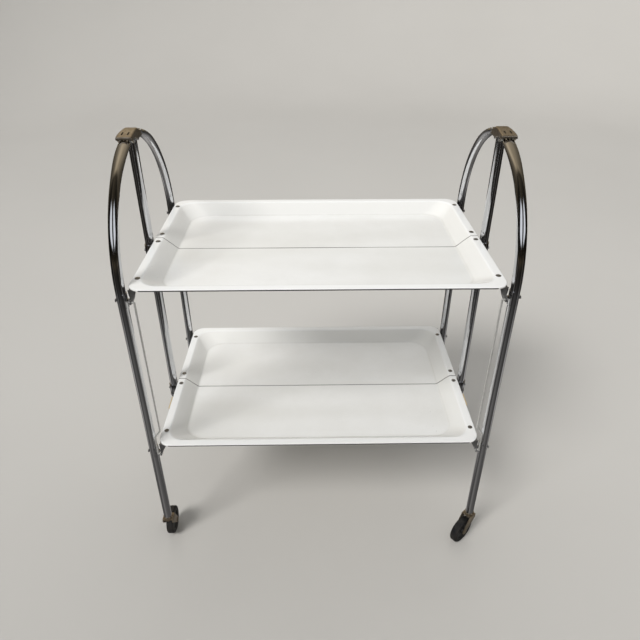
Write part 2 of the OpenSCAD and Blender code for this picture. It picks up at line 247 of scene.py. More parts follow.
def enamel(name, flange_z, half_depth, seed):
    n = Net(name)
    z = n.sep("Z")
    broad = n.noise(3.2, 3.0, 0.5, seed=seed)
    fine = n.noise(260.0, 2.0, 0.5, seed=seed + 2)
    colour = n.mix(n.ramp(broad, [(0.3, 0.0), (0.75, 1.0)]), (0.875, 0.88, 0.88), (0.862, 0.864, 0.852))
    # painted reflection: soft bands across the pressing, a little duller, standing in for the room reflected in the
    # enamel
    painted_reflection_band = n.ramp(n.noise(4.2, 1.0, 0.4, stretch=(0.55, 2.3, 1.0), seed=seed + 6), [(0.46, 0.0), (0.66, 1.0)])
    well = n.span(z, flange_z - 0.021, flange_z - 0.012, 1.0, 0.0)
    colour = n.mix(n.math("MULTIPLY", n.math("MULTIPLY", painted_reflection_band, well), 0.75), colour, (0.765, 0.765, 0.745))
    # painted shade: the sloping walls of the well are painted a greyer, warmer white than the flange and floor
    wall = n.math("MULTIPLY", n.span(z, flange_z - 0.0022, flange_z - 0.0010, 1.0, 0.0), n.span(z, flange_z - 0.0210, flange_z - 0.0185, 0.0, 1.0))
    colour = n.mix(n.math("MULTIPLY", wall, 0.55), colour, (0.80, 0.792, 0.76))
    # painted shade along the foot of the well, where the walls meet the floor, broken up by noise
    low = n.span(z, flange_z - 0.0222, flange_z - 0.0165, 1.0, 0.0)
    edge = n.math("MULTIPLY", low, n.span(n.math("ABSOLUTE", n.math("SUBTRACT", z, flange_z - 0.0207)), 0.0, 0.0021, 1.0, 0.0))
    foot_shade = n.math("MULTIPLY", edge, n.ramp(n.noise(18.0, 5.0, 0.65, seed=seed + 4), [(0.35, 0.35), (0.7, 0.75)]))
    # painted shade at the well's foot
    colour = n.mix(foot_shade, colour, (0.61, 0.60, 0.56))
    # small chips and scuffs in the coating
    chip = n.ramp(n.voronoi(95.0), [(0.0, 1.0), (0.045, 0.9), (0.06, 0.0)])
    chip = n.math("MULTIPLY", chip, n.ramp(n.noise(7.0, 2.0, seed=seed + 9), [(0.60, 0.0), (0.66, 1.0)]))
    # painted shadow: the lower part of the turned-down lip, outside only, is painted near black
    lip_shadow_line = n.math("MULTIPLY", n.span(z, flange_z - 0.0012, flange_z - 0.0009, 1.0, 0.0),
                  n.span(n.math("ABSOLUTE", n.sep("Y")), half_depth - 0.0007, half_depth - 0.0004, 0.0, 1.0))
    scratch = n.ramp(n.noise(26.0, 6.0, 0.75, stretch=(0.35, 6.0, 1.0), seed=seed + 13, dist=0.6), [(0.70, 0.0), (0.78, 1.0)])
    colour = n.mix(n.math("MULTIPLY", chip, 0.85), colour, (0.11, 0.10, 0.09))
    # painted shadow line under the flange's edge
    colour = n.mix(n.math("MULTIPLY", lip_shadow_line, 0.97), colour, (0.035, 0.033, 0.032))
    # painted shade in the gap between the two halves, along their cut edges
    seam_shade = n.span(n.math("ABSOLUTE", n.sep("Y")), 0.0007, 0.0019, 1.0, 0.0)
    colour = n.mix(n.math("MULTIPLY", n.math("MULTIPLY", seam_shade, seam_shade), 0.85), colour, (0.055, 0.048, 0.04))
    r = n.math("ADD", n.span(broad, 0.25, 0.8, 0.17, 0.27), n.math("MULTIPLY", scratch, 0.14))
    r = n.math("ADD", r, n.math("MULTIPLY", chip, 0.4), clamp=True)
    nrm = n.bump(fine, 0.05, 0.0002)
    nrm = n.bump(broad, 0.05, 0.004, nrm)
    nrm = n.bump(chip, 0.4, -0.0001, nrm)
    return n.put(Base_Color=colour, Roughness=r, Normal=nrm, Coat_Weight=0.35, Coat_Roughness=0.12, IOR=1.5)


def plastic(name, a, b, rough, seed, bumpy=0.15, scale=300.0):
    n = Net(name)
    cloudy = n.noise(30.0, 5.0, 0.6, seed=seed)
    fine = n.noise(scale, 3.0, 0.6, seed=seed + 1)
    colour = n.mix(n.ramp(cloudy, [(0.3, 0.0), (0.72, 1.0)]), a, b)
    r = n.span(cloudy, 0.2, 0.8, rough, rough + 0.15)
    return n.put(Base_Color=colour, Roughness=r, Normal=n.bump(fine, bumpy, 0.0002))


def rubber(name, seed, centre=(0.0, 0.0, 0.0)):
    n = Net(name)
    cloudy = n.noise(45.0, 6.0, 0.65, seed=seed)
    fine = n.noise(700.0, 3.0, 0.6, seed=seed + 1)
    dust = n.ramp(cloudy, [(0.45, 0.0), (0.8, 1.0)])
    colour = n.mix(n.math("MULTIPLY", dust, 0.55), (0.012, 0.012, 0.013), (0.085, 0.075, 0.062))
    r = n.span(cloudy, 0.2, 0.8, 0.42, 0.72)
    nrm = n.bump(fine, 0.25, 0.0002)
    nrm = n.bump(cloudy, 0.2, 0.0005, nrm)
    # moulded rings round the wheel's centre, with dust in them
    shift = n.new("ShaderNodeVectorMath")
    shift.operation = "SUBTRACT"
    shift.inputs[1].default_value = centre
    n.link(n.coord, shift.inputs[0])
    wave_n = n.new("ShaderNodeTexWave")
    wave_n.wave_type, wave_n.rings_direction, wave_n.wave_profile = "RINGS", "SPHERICAL", "SIN"
    wave_n.inputs["Scale"].default_value = 150.0
    n.link(shift.outputs["Vector"], wave_n.inputs["Vector"])
    ridge = wave_n.outputs["Fac"]
    nrm = n.bump(ridge, 0.55, 0.0005, nrm)
    colour = n.mix(n.math("MULTIPLY", n.ramp(ridge, [(0.0, 1.0), (0.45, 0.0)]), n.math("MULTIPLY", dust, 0.7)), colour, (0.17, 0.15, 0.125))
    return n.put(Base_Color=colour, Roughness=r, Normal=nrm)


M = {
    "chrome_tube": chrome("chrome_tube", (0.70, 0.705, 0.72), (0.60, 0.60, 0.61), 0.055, (3.0, 3.0, 0.35), 1.0),
    "chrome_fittings": chrome("chrome_fittings", (0.66, 0.665, 0.68), (0.54, 0.54, 0.55), 0.09, (2.0, 0.5, 2.0), 21.0),
    "plated_steel": zinc("plated_steel", (0.46, 0.46, 0.465), (0.30, 0.30, 0.30), 0.30, 41.0, 0.25),
    "rivets": zinc("rivets", (0.50, 0.49, 0.47), (0.26, 0.25, 0.235), 0.40, 51.0, 0.45),
    "white_nylon": plastic("white_nylon", (0.78, 0.77, 0.72), (0.66, 0.645, 0.59), 0.42, 61.0),
    "black_plastic": plastic("black_plastic", (0.020, 0.020, 0.021), (0.045, 0.043, 0.040), 0.36, 71.0),
    "beige_plastic": plastic("beige_plastic", (0.62, 0.50, 0.31), (0.50, 0.385, 0.22), 0.45, 81.0),
    "caster_steel": zinc("caster_steel", (0.58, 0.50, 0.39), (0.34, 0.27, 0.19), 0.27, 91.0, 0.6),
    "black_rubber": rubber("black_rubber", 101.0),
}
M["wire"] = zinc("wire_pale", (0.80, 0.80, 0.78), (0.62, 0.615, 0.59), 0.36, 111.0, 0.10)
M["wire"].node_tree.nodes["Principled BSDF"].inputs["Metallic"].default_value = 0.5
ENAMEL = {lv: enamel("white_enamel_" + lv, TRAY[lv][3], TRAY[lv][1], 11.0 if lv == "upper" else 31.0) for lv in TRAY}


# ------------------------------------------------------------------ mesh helpers
def piece(name, bm, body, material, replaces=(), smooth=True, sharp=38.0):
    bmesh.ops.remove_doubles(bm, verts=bm.verts, dist=1e-7)
    bmesh.ops.dissolve_degenerate(bm, edges=bm.edges, dist=1e-7)
    bmesh.ops.recalc_face_normals(bm, faces=bm.faces)
    for f in bm.faces:
        f.smooth = smooth
    for e in bm.edges:
        e.smooth = not (len(e.link_faces) == 2 and e.calc_face_angle(0.0) > math.radians(sharp))
    me = bpy.data.meshes.new(name)
    bm.to_mesh(me)
    bm.free()
    o = bpy.data.objects.new(name, me)
    bpy.context.scene.collection.objects.link(o)
    me.materials.append(material)
    if replaces:
        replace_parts(o, *replaces)
    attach(o, body)
    return o


def bake_modifiers(o):
    bpy.context.view_layer.update()
    dg = bpy.context.evaluated_depsgraph_get()
    me = bpy.data.meshes.new_from_object(o.evaluated_get(dg))
    o.modifiers.clear()
    o.data = me
    return o


def sweep(bm, path, radius, segs, side=Vector((1, 0, 0))):
    """Rings of a round bar along path; side is a direction square to the whole path."""
    rings = []
    for i, p in enumerate(path):
        a, b = path[max(0, i - 1)], path[min(len(path) - 1, i + 1)]
        t = (b - a).normalized()
        u = side - t * side.dot(t)
        u.normalize()
        v = t.cross(u)
        rings.append([bm.verts.new(p + (u * math.cos(2 * math.pi * k / segs) + v * math.sin(2 * math.pi * k / segs)) * radius[i])
                      for k in range(segs)])
    for r0, r1 in zip(rings, rings[1:]):
        for k in range(segs):
            bm.faces.new((r0[k], r0[(k + 1) % segs], r1[(k + 1) % segs], r1[k]))
    return rings


def hollow_tube(bm, path, outer, wall, segs):
    """A tube with rounded rims at both ends, closed all round as one skin."""
    n = len(path)
    t0 = (path[1] - path[0]).normalized()
    t1 = (path[-1] - path[-2]).normalized()
    e = 0.35 * MM
    pts = [path[0] + t0 * e, *path[1:-1], path[-1] - t1 * e]
    skin = [path[0] + t0 * 0.0] + pts + [path[-1] - t1 * 0.0]
    rad = [outer - e] + [outer] * n + [outer - e]
    out = sweep(bm, skin, rad, segs)
    inn = sweep(bm, skin, [outer - wall + e] + [outer - wall] * n + [outer - wall + e], segs)
    for ring_o, ring_i in ((out[0], inn[0]), (out[-1], inn[-1])):
        for k in range(segs):
            bm.faces.new((ring_o[k], ring_o[(k + 1) % segs], ring_i[(k + 1) % segs], ring_i[k]))


def refined(node, bevel, segs=2, material=None, angle=28.0):
    """The CAD node's own shape with its edges broken, as a pressed or turned piece has them."""
    bm = bmesh.new()
    bm.from_mesh(NODES[node].data)
    bmesh.ops.remove_doubles(bm, verts=bm.verts, dist=1e-6)
    bmesh.ops.dissolve_limit(bm, angle_limit=math.radians(0.6), verts=bm.verts, edges=bm.edges)
    if bevel:
        edges = [e for e in bm.edges if len(e.link_faces) == 2 and e.calc_face_angle(0.0) > math.radians(angle)]
        bmesh.ops.bevel(bm, geom=edges, offset=bevel, segments=segs, profile=0.5, affect="EDGES", clamp_overlap=True, harden_normals=False)
    slot = SLOT_OF[node]
    return piece(node + "_finished", bm, BODY_OF[node], material or M[slot], (node,), sharp=50.0)


# ------------------------------------------------------------------ trays
def wave(x, y, k):
    return 0.00011 * (math.sin(9.1 * x + 2.3 * k) * math.cos(13.0 * y + k) + 0.6 * math.sin(21.0 * x - 17.0 * y + 1.7 * k))


PROFILE = [(0.0, -3.0), (0.0, -2.3), (0.0, -1.6), (0.14, -1.0), (0.5, -0.5), (1.0, -0.15), (1.7, 0.0), (3.2, 0.02),
           (6.0, 0.03), (9.0, 0.02), (12.0, 0.0), (13.3, -0.05), (14.1, -0.24), (14.8, -0.62), (15.6, -1.22), (16.9, -2.15), (18.4, -3.3),
           (20.6, -5.0), (23.6, -7.6), (27.0, -10.6), (30.2, -13.4), (33.0, -15.85), (35.2, -17.75), (37.2, -19.4),
           (38.7, -20.55), (39.9, -21.25), (41.1, -21.7), (42.6, -21.94), (45.0, -22.0), (53.0, -22.0)]
PROFILE += [(53.0 + 7.0 * k, -22.0) for k in range(1, 19)]
RADII = [(0.0, 24.0), (15.5, 30.0), (37.0, 37.0), (45.0, 40.0), (60.0, 36.0), (179.0, 0.0)]


def radius_at(d):
    for (d0, r0), (d1, r1) in zip(RADII, RADII[1:]):
        if d <= d1:
            return r0 + (r1 - r0) * (d - d0) / (d1 - d0)
    return 0.0


def tray_half(level, side):
    hw, hd, gap, top = TRAY[level]
    name = level + ("_back_tray" if side > 0 else "_front_tray")
    k = {"upper": 0.4, "lower": 2.9}[level] + side
    arc_n, side_n, front_n = 14, 12, 42
    near = [0.0, 0.12, 0.35, 0.7, 1.2, 1.9, 3.0]
    bm = bmesh.new()
    rows = []
    for d_mm, z_mm in PROFILE:
        d, z0 = d_mm * MM, z_mm * MM
        w, h, r = hw - d, hd - d, max(radius_at(d_mm), 0.0) * MM
        ys = [gap + s * MM for s in near]
        last = h - r
        ys += [ys[-1] + (last - ys[-1]) * i / side_n for i in range(1, side_n + 1)]
        pts = [(w, y) for y in ys]
        pts += [(w - r + r * math.cos(math.pi / 2 * i / arc_n), last + r * math.sin(math.pi / 2 * i / arc_n)) for i in range(1, arc_n + 1)]
        pts += [(w - r - 2 * (w - r) * i / front_n, h) for i in range(1, front_n)]
        pts += [(-x, y) for x, y in reversed(pts[:len(ys) + arc_n])]
        row = []
        for x, y in pts:
            s = (y - gap) / MM
            z = top + z0
            if s < 1.2:
                z -= (1.2 - math.sqrt(max(0.0, 1.44 - (1.2 - s) ** 2))) * MM * 0.75
            if d_mm > 1.0:
                z += wave(x, side * y, k) * min(1.0, (d_mm - 1.0) / 6.0)
            row.append(bm.verts.new((x, side * y, z)))
        rows.append(row)
    for a, b in zip(rows, rows[1:]):
        for i in range(len(a) - 1):
            bm.faces.new((a[i], a[i + 1], b[i + 1], b[i]))
    # the middle of the floor, a grid between the last row's two sides
    last = rows[-1]
    m = len(near) + side_n
    left = list(reversed(last[-m:]))
    right = last[:m]
    fronts = last[m + arc_n - 1:m + arc_n + front_n]
    w = right[0].co.x
    grid = [[right[i]] + [None] * (front_n - 1) + [left[i]] for i in range(m)]
    for i in range(m - 1):
        for j in range(1, front_n):
            x = w - 2 * w * j / front_n
            y = abs(right[i].co.y)
            s = (y - gap) / MM
            z = top - 0.022
            if s < 1.2:
                z -= (1.2 - math.sqrt(max(0.0, 1.44 - (1.2 - s) ** 2))) * MM * 0.75
            z += wave(x, side * y, k)
            grid[i][j] = bm.verts.new((x, side * y, z))
    for j in range(1, front_n):
        grid[m - 1][j] = fronts[j]
    for i in range(m - 1):
        for j in range(front_n):
            vs = []
            for v in (grid[i][j], grid[i][j + 1], grid[i + 1][j + 1], grid[i + 1][j]):
                if v not in vs:
                    vs.append(v)
            if len(vs) >= 3:
                bm.faces.new(vs)
    bmesh.ops.remove_doubles(bm, verts=bm.verts, dist=1e-6)
    bmesh.ops.recalc_face_normals(bm, faces=bm.faces)
    up = max(bm.faces, key=lambda f: f.calc_area())
    if up.normal.z < 0:
        bmesh.ops.reverse_faces(bm, faces=bm.faces)
    me = bpy.data.meshes.new(name + "_pressing")
    for f in bm.faces:
        f.smooth = True
    bm.to_mesh(me)
    bm.free()
    o = bpy.data.objects.new(name + "_pressing", me)
    bpy.context.scene.collection.objects.link(o)
    s = o.modifiers.new("sheet", "SOLIDIFY")
    s.thickness, s.offset, s.use_even_offset, s.use_rim = 0.00095, -1.0, True, True
    b = o.modifiers.new("edge", "BEVEL")
    b.width, b.segments, b.limit_method, b.angle_limit = 0.00022, 2, "ANGLE", math.radians(50)
    bake_modifiers(o)
    o.data.materials.clear()
    o.data.materials.append(ENAMEL[level])
    for p in o.data.polygons:
        p.use_smooth = True
    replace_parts(o, name)
    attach(o, BODY_OF[name])
    return o


for lv in ("upper", "lower"):
    for sd in (-1, 1):
        tray_half(lv, sd)


# ------------------------------------------------------------------ tubes
def smooth_step(v, a, b):
    t = min(1.0, max(0.0, (v - a) / (b - a)))
    return t * t * (3 - 2 * t)


def tube_shape(y):
    """Half width, top offset and bottom offset of a leg tube at a distance y from the post: it is pressed flat near the crown."""
    y = abs(y) / MM
    wide = 8.0 + 0.15 * (1 - smooth_step(y, 26, 34)) + 2.0 * smooth_step(y, 32, 46) * (1 - smooth_step(y, 62, 128))
    top = 8.0 - 2.6 * (1 - smooth_step(y, 70, 130))
    low = 8.0 - 0.9 * (1 - smooth_step(y, 70, 130))
    return wide * MM, top * MM, low * MM


def leg_rings(sx, sy):
    """Centre, outward direction and shape of each ring, from the foot up and over to the crown."""
    out = []
    for i in range(15):
        out.append((Vector((sx * XP, sy * LEG_Y, LEG_Z0 + (ARC_Z - LEG_Z0) * i / 14)), Vector((0, sy, 0)), (TR, TR, TR)))
    y_end = 0.0096 if sy > 0 else LEG_END_Y
    end = math.acos((y_end - ARC_Y) / ARC_R)
    n = 88
    for i in range(1, n + 1):
        a = end * i / n
        y = ARC_Y + ARC_R * math.cos(a)
        out.append((Vector((sx * XP, sy * y, ARC_Z + ARC_R * math.sin(a))), Vector((0, sy * math.cos(a), math.sin(a))), tube_shape(y)))
    return out


def pressed_tube(bm, rings, wall, segs=48):
    """A hollow tube whose section changes along its length, with rounded rims, closed as one skin."""
    e = 0.35 * MM

    def ring(c, up, shape, inset):
        w, top, low = (v - inset for v in shape)
        return [bm.verts.new(c + Vector((w * math.cos(2 * math.pi * k / segs), 0, 0))
                             + up * ((top if k * 2 < segs else low) * math.sin(2 * math.pi * k / segs))) for k in range(segs)]

    def along(i):
        a, b = rings[max(0, i - 1)][0], rings[min(len(rings) - 1, i + 1)][0]
        return (b - a).normalized()

    skins = []
    for inset, rim in ((0.0, e), (wall, -e)):
        rows = []
        for i, (c, up, shape) in enumerate(rings):
            if i == 0:
                rows.append(ring(c, up, shape, inset + rim))
                rows.append(ring(c + along(0) * e, up, shape, inset))
            elif i == len(rings) - 1:
                rows.append(ring(c - along(i) * e, up, shape, inset))
                rows.append(ring(c, up, shape, inset + rim))
            else:
                rows.append(ring(c, up, shape, inset))
        for r0, r1 in zip(rows, rows[1:]):
            for k in range(segs):
                bm.faces.new((r0[k], r0[(k + 1) % segs], r1[(k + 1) % segs], r1[k]))
        skins.append(rows)
    for end in (0, -1):
        ro, ri = skins[0][end], skins[1][end]
        for k in range(segs):
            bm.faces.new((ro[k], ro[(k + 1) % segs], ri[(k + 1) % segs], ri[k]))


for fb, sy in (("front", -1), ("back", 1)):
    for lr, sx in (("left", -1), ("right", 1)):
        bm = bmesh.new()
        pressed_tube(bm, leg_rings(sx, sy), 1.2 * MM)
        node = f"{fb}_leg_{lr}"
        piece(node + "_tube", bm, BODY_OF[node], M[SLOT_OF[node]], (node,))
for lr, sx in (("left", -1), ("right", 1)):
    lo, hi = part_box("post_" + lr)
    bm = bmesh.new()
    top = min(hi.z, ARC_Z + math.sqrt((ARC_R + 5.5 * MM) ** 2 - 0.018 ** 2))
    hollow_tube(bm, [Vector((sx * XP, 0, lo.z + (top - lo.z) * i / 12)) for i in range(13)], TR, 1.2 * MM, 48)
    piece(f"post_{lr}_tube", bm, "frame", M["chrome_tube"], ("post_" + lr,))


# ------------------------------------------------------------------ crowns
CROWN_Z = ARC_Z + math.sqrt(ARC_R ** 2 - (0.028 - ARC_Y) ** 2)     # height of the crown pins


def lookup(table, v):
    for (a, p), (b, q) in zip(table, table[1:]):
        if v <= b:
            t = (v - a) / (b - a)
            return p + (q - p) * max(0.0, t)
    return table[-1][1]


HALF = [(-43, 12.9), (-34, 12.8), (-20, 12.0), (-8, 11.2), (4, 10.8), (16, 10.5), (36, 10.3)]
RISE = [(-43, 11.0), (-30, 10.6), (-16, 9.9), (0, 9.0), (6, 8.7)]
FOOT = [(-43, 785.6), (-38, 784.4), (-34, 780.6), (-31, 778.9), (-28, 778.3), (-25, 779.0), (-22, 781.6), (-18, 784.2), (-14, 783.4),
        (-8, 780.2), (-3, 777.6), (0, 777.0), (4, 777.2), (14, 778.6), (22, 778.6), (28, 778.3), (31.5, 779.3), (34.5, 783.0)]
EAR = [(6, 8.7), (9, 5.6), (14, 3.8), (22, 3.2), (30, 2.6), (34.5, 0.5)]     # top of the side plates behind the top


def crown_z_at(y, rise):
    """Height in mm of the crown's surface over the post line, the two arches blended where they meet."""
    return 587.0 + math.sqrt((200.0 + rise) ** 2 - (math.sqrt(y * y + 36.0) + 8.0) ** 2)


def crown(name, sx):
    bm = bmesh.new()
    stations = [-43 + 1.5 * i for i in range(0, 33)] + [6.0]
    stations = [v for v in stations if v < 6.0] + [6.0, 7.2, 9.0, 12, 15, 18, 21, 24, 26, 28, 29.5, 31.5, 33, 34.5]
    r, n = 2.6, 5
    rows = []
    for y in stations:
        hw = lookup(HALF, y)
        top = crown_z_at(y, lookup(RISE, y)) if y <= 6.0 else crown_z_at(y, lookup(EAR, y))
        foot = lookup(FOOT, y)
        side = [(hw, foot + (top - r - foot) * k / 5) for k in range(6)]
        if y <= 6.0:
            side += [(hw - r + r * math.cos(math.pi / 2 * k / n), top - r + r * math.sin(math.pi / 2 * k / n)) for k in range(1, n + 1)]
            flat = [(hw - r - 2 * (hw - r) * k / 10, top) for k in range(1, 10)]
            pts = side + flat + [(-x, z) for x, z in reversed(side)]
            rows.append(([bm.verts.new(((sx * XP) + x * MM, y * MM, z * MM)) for x, z in pts], None))
        else:
            side = [(hw, foot + (top - foot) * k / 5) for k in range(6)]
            rows.append(([bm.verts.new(((sx * XP) + x * MM, y * MM, z * MM)) for x, z in side],
                         [bm.verts.new(((sx * XP) - x * MM, y * MM, z * MM)) for x, z in reversed(side)]))
    for (a, a2), (b, b2) in zip(rows, rows[1:]):
        if b2 is None:
            for k in range(len(a) - 1):
                bm.faces.new((a[k], a[k + 1], b[k + 1], b[k]))
        else:
            la = a[:6], (a2 if a2 is not None else a[-6:])
            for p, q in zip(la, (b, b2)):
                for k in range(5):
                    bm.faces.new((p[k], p[k + 1], q[k + 1], q[k]))
    # the front lip, rolled down between the corners
    first = rows[0][0]
    span = first[7:-7]
    prev = span
    for dy, dz in ((-0.9, -0.45), (-1.45, -1.3), (-1.6, -2.4), (-1.6, -3.6), (-1.6, -4.6)):
        ring = [bm.verts.new((v.co.x, (-43 + dy) * MM, v.co.z + (dz * MM))) for v in span]
        for k in range(len(span) - 1):
            bm.faces.new((prev[k], prev[k + 1], ring[k + 1], ring[k]))
        prev = ring
    bmesh.ops.recalc_face_normals(bm, faces=bm.faces)
    probe = max(bm.faces, key=lambda f: f.calc_center_median().z)
    if probe.normal.z < 0:
        bmesh.ops.reverse_faces(bm, faces=bm.faces)
    me = bpy.data.meshes.new(name + "_shell")
    bm.to_mesh(me)
    bm.free()
    o = bpy.data.objects.new(name + "_shell", me)
    bpy.context.scene.collection.objects.link(o)
    m = o.modifiers.new("sheet", "SOLIDIFY")
    m.thickness, m.offset, m.use_even_offset, m.use_rim = 1.25 * MM, -1.0, True, True
    # slots at the front
    cuts = bmesh.new()
    for cx, y0, y1 in ((-4.6, -36.5, -24.5), (5.2, -36.5, -24.5)):
        ring = []
        for k in range(20):
            t = 2 * math.pi * k / 20
            end = y1 if math.sin(t) > 0 else y0
            ring.append((cx * -sx + 1.25 * math.cos(t), end + (-1.25 if end == y1 else 1.25) + 1.25 * math.sin(t)))
        lo_v = [cuts.verts.new((sx * XP + x * MM, y * MM, 0.776)) for x, y in ring]
        hi_v = [cuts.verts.new((sx * XP + x * MM, y * MM, 0.806)) for x, y in ring]
        for k in range(20):
            cuts.faces.new((lo_v[k], lo_v[(k + 1) % 20], hi_v[(k + 1) % 20], hi_v[k]))
        cuts.faces.new(hi_v)
        cuts.faces.new(lo_v[::-1])
    bmesh.ops.recalc_face_normals(cuts, faces=cuts.faces)
    cm = bpy.data.meshes.new("slot_tool")
    cuts.to_mesh(cm)
    cuts.free()
    co = bpy.data.objects.new("slot_tool", cm)
    bpy.context.scene.collection.objects.link(co)
    b = o.modifiers.new("slots", "BOOLEAN")
    b.operation, b.solver, b.object = "DIFFERENCE", "EXACT", co
    bv = o.modifiers.new("edge", "BEVEL")
    bv.width, bv.segments, bv.limit_method, bv.angle_limit = 0.3 * MM, 2, "ANGLE", math.radians(48)
    bake_modifiers(o)
    bpy.data.objects.remove(co)
    bpy.data.meshes.remove(cm)
    o.data.materials.clear()
    o.data.materials.append(CROWN_MAT)
    for p in o.data.polygons:
        p.use_smooth = True
    bm2 = bmesh.new()
    bm2.from_mesh(o.data)
    for e in bm2.edges:
        e.smooth = not (len(e.link_faces) == 2 and e.calc_face_angle(0.0) > math.radians(42))
    bm2.to_mesh(o.data)
    bm2.free()
    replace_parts(o, name)
    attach(o, BODY_OF[name])
    return o


def lathe_x(bm, x, y, z, profile, segs=28):
    """A turned piece along X: profile is a closed run of (offset along x, radius) in mm, from axis to axis."""
    rows = []
    for dx, rad in profile:
        if rad <= 0:
            rows.append([bm.verts.new((x + dx * MM, y, z))])
        else:
            rows.append([bm.verts.new((x + dx * MM, y + rad * MM * math.cos(2 * math.pi * k / segs), z + rad * MM * math.sin(2 * math.pi * k / segs)))
                         for k in range(segs)])
    for a, b in zip(rows, rows[1:]):
        for k in range(segs):
            q = (k + 1) % segs
            if len(a) == 1:
                bm.faces.new((a[0], b[k], b[q]))
            elif len(b) == 1:
                bm.faces.new((a[k], a[q], b[0]))
            else:
                bm.faces.new((a[k], a[q], b[q], b[k]))


CROWN_MAT = zinc("crown_worn_nickel", (0.64, 0.575, 0.48), (0.37, 0.305, 0.225), 0.20, 131.0, 0.5)
for lr, sx in (("left", -1), ("right", 1)):
    crown("crown_" + lr, sx)


def crown_fasteners(name, nodes_y, zc, shank, head, head_t, slot):
    bm = bmesh.new()
    for sx in (-1, 1):
        for y in nodes_y:
            w = lookup(HALF, y)
            lathe_x(bm, sx * XP, y * MM, zc,
                    [(-w - head_t, 0), (-w - head_t, head * 0.55), (-w - head_t * 0.72, head * 0.86), (-w - head_t * 0.3, head),
                     (-w + 0.05, head), (-w + 0.05, shank), (w - 0.05, shank), (w - 0.05, head), (w + head_t * 0.3, head),
                     (w + head_t * 0.72, head * 0.86), (w + head_t, head * 0.55), (w + head_t, 0)])
    piece(name + "_turned", bm, BODY_OF[name], M[SLOT_OF[name]], (name,), sharp=55.0)


crown_fasteners("crown_pins", (-28, 28), CROWN_Z, 2.5, 3.6, 1.1, "plated_steel")
crown_fasteners("post_rivets", (0,), CROWN_Z - 0.005, 2.5, 2.6, 0.9, "rivets")
bm = bmesh.new()
for sx in (-1, 1):
    for y in (-28, 28):
        inner, outer = 8.2, lookup(HALF, y) - 1.3
        for side in (-1, 1):
            a, b = sorted((side * inner, side * outer))
            prof = [(a, 2.55), (a, 4.2), (a + 0.15, 4.4), (b - 0.15, 4.4), (b, 4.2), (b, 2.55), (a, 2.55)]
            lathe_x(bm, sx * XP, y * MM, CROWN_Z, prof)
piece("crown_spacers_turned", bm, BODY_OF["crown_spacers"], M[SLOT_OF["crown_spacers"]], ("crown_spacers",), sharp=50.0)


# ------------------------------------------------------------------ corner clips: saddles on the tray side of each leg
def saddle(node, sx, sy):
    bm = bmesh.new()
    for lv in ("upper", "lower"):
        zc = TRAY[lv][3] - 0.024
        na, nz = 16, 10
        for r0, r1, flip in ((TR + 0.02 * MM, TR + 1.15 * MM, False),):
            grid = []
            for i in range(nz + 1):
                v = -1 + 2 * i / nz
                z = zc + v * 0.0125
                reach = math.radians(96) * math.sqrt(max(0.04, 1 - 0.62 * v * v))
                grid.append([(math.pi if sx > 0 else 0.0) + reach * (-1 + 2 * k / na) for k in range(na + 1)] + [z])
            shells = []
            for r in (r0, r1):
                shells.append([[bm.verts.new((sx * XP + r * math.cos(a), sy * LEG_Y + r * math.sin(a), row[-1])) for a in row[:-1]] for row in grid])
            inn, out = shells
            for i in range(nz):
                for k in range(na):
                    bm.faces.new((out[i][k], out[i][k + 1], out[i + 1][k + 1], out[i + 1][k]))
                    bm.faces.new((inn[i][k], inn[i + 1][k], inn[i + 1][k + 1], inn[i][k + 1]))
                for k in (0, na):
                    bm.faces.new((out[i][k], out[i + 1][k], inn[i + 1][k], inn[i][k]))
            for i in (0, nz):
                for k in range(na):
                    bm.faces.new((out[i][k], inn[i][k], inn[i][k + 1], out[i][k + 1]))
        # the stud that faces the tray's corner pivot, with a shoulder
        tip = (TRAY[lv][0] - 0.001) / MM
        base = (XP - TR - 0.0009) / MM
        s = sx
        lathe_x(bm, 0, sy * LEG_Y, zc, [(s * tip, 0), (s * tip, 2.2), (s * (tip + 0.3), 2.5), (s * (base - 1.6), 2.5), (s * (base - 1.5), 3.1),
                                        (s * (base + 0.6), 3.4), (s * (base + 0.6), 0)])
    piece(node + "_saddles", bm, BODY_OF[node], M[SLOT_OF[node]], (node,), sharp=45.0)


for fb, sy in (("front", -1), ("back", 1)):
    for lr, sx in (("left", -1), ("right", 1)):
        saddle(f"{fb}_{lr}_brackets", sx, sy)

# ------------------------------------------------------------------ everything else keeps its CAD shape, with broken edges
DONE = {n for o in bpy.context.scene.objects for n in o.get("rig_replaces", [])}
BEVEL = {"crown_left": 0.7, "crown_right": 0.7, "crown_pins": 0.4, "post_rivets": 0.4, "post_end_caps": 0.8,
         "crown_spacers": 0.3, "post_stops": 0.5, "lower_edge_tabs": 0.7, "sync_rods": 0.0}
for n in sorted(NODES):
    if n in DONE:
        continue
    w = BEVEL.get(n, 0.35)
    if "rivets" in n:
        w = 0.3
    if n.startswith(("fork", "upper_runner", "lower_runner")):
        w = 0.45
    if n.startswith("tyre"):
        w = 0.0
    own = M["wire"] if n == "sync_rods" else None
    if n.startswith("tyre"):
        t_lo, t_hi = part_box(n)
        own = rubber(n + "_rubber", 101.0, tuple((t_lo + t_hi) / 2))
    refined(n, w * MM, material=own)

# ------------------------------------------------------------------ stage
def dish(name, rings, segs, material):
    """A pale studio floor that curves up all round, so no view has a horizon line."""
    bm = bmesh.new()
    last = None
    centre = bm.verts.new((0, 0, rings[0][1]))
    for r, z in rings[1:]:
        ring = [bm.verts.new((r * math.cos(2 * math.pi * k / segs), r * math.sin(2 * math.pi * k / segs), z)) for k in range(segs)]
        for k in range(segs):
            a, b = ring[k], ring[(k + 1) % segs]
            bm.faces.new((centre, a, b) if last is None else (last[k], a, b, last[(k + 1) % segs]))
        last = ring
    for f in bm.faces:
        f.smooth = True
    me = bpy.data.meshes.new(name)
    bm.to_mesh(me)
    bm.free()
    o = bpy.data.objects.new(name, me)
    me.materials.append(material)
    bpy.context.scene.collection.objects.link(o)
    return o


